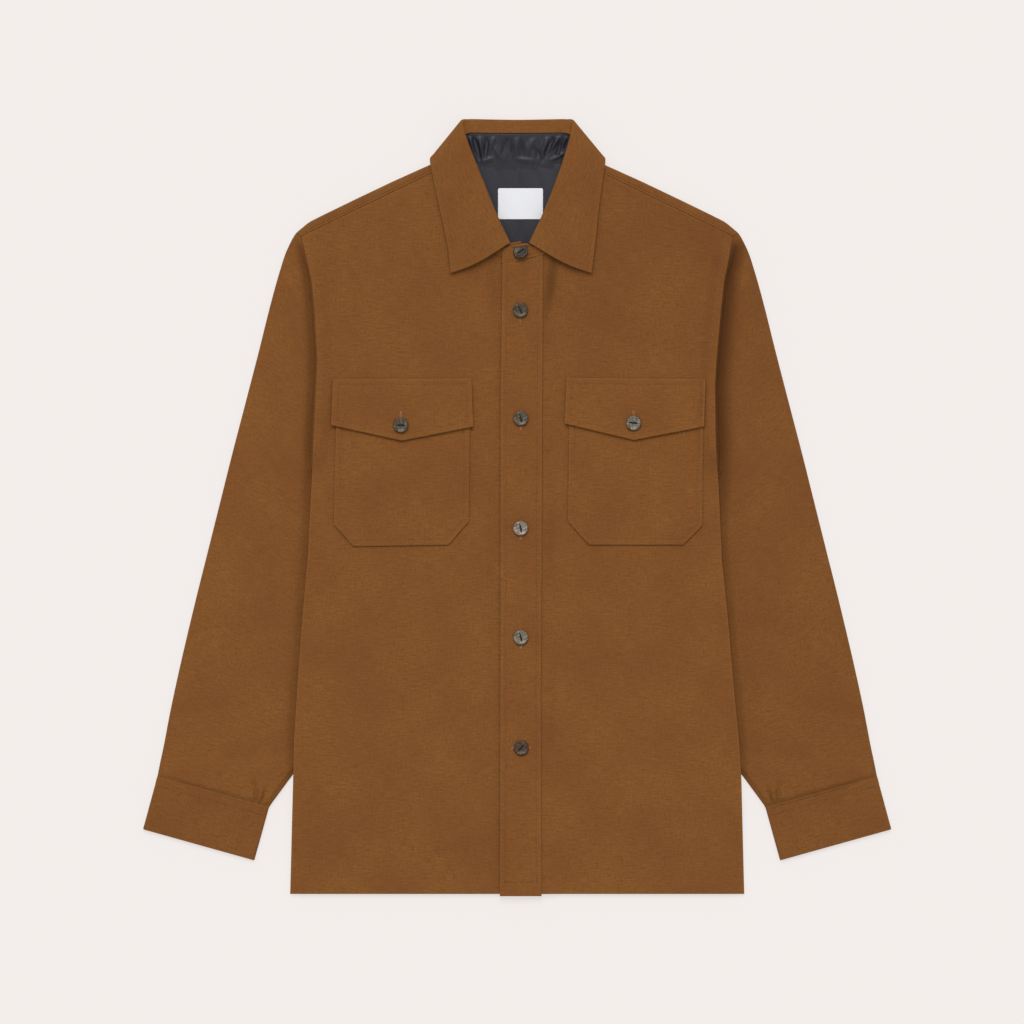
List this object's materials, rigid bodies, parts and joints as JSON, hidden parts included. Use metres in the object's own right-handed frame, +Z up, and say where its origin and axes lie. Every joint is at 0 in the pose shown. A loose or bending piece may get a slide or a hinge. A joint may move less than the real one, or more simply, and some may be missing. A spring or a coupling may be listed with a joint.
{
  "type": "overshirt",
  "caption": "Brown brushed-cotton overshirt laid flat, front up, with a turned-down collar, buttoned front, flap chest pockets and plain cuffs.",
  "frame": {"origin": "on the surface the overshirt lies on, below the middle of its outline", "axes": "+X towards the wearer's left, +Y from the hem to the collar, +Z up from the surface through the back and then the front"},
  "size_m": [0.7484, 0.7766, 0.0157],
  "materials": {
    "cloth": "brushed cotton twill, matt, brown",
    "lining": "dark satin lining, soft sheen",
    "label": "woven label, white, blank",
    "horn": "horn look, grey to brown marbling, polished"
  },
  "bodies": {
    "root": {"back": "cloth", "front_left": "cloth", "front_right": "cloth", "placket": "cloth", "sleeve_left": "cloth", "sleeve_right": "cloth", "cuff_left": "cloth", "cuff_right": "cloth", "collar_fall": "cloth", "collar_stand": "cloth", "pocket_left": "cloth", "pocket_right": "cloth", "flap_left": "cloth", "flap_right": "cloth", "stand_lining": "lining", "back_lining": "lining", "neck_label": "label", "button_stand": "horn", "button_1": "horn", "button_2": "horn", "button_3": "horn", "button_4": "horn", "button_5": "horn", "button_pocket_left": "horn", "button_pocket_right": "horn"}
  },
  "joints": []
}
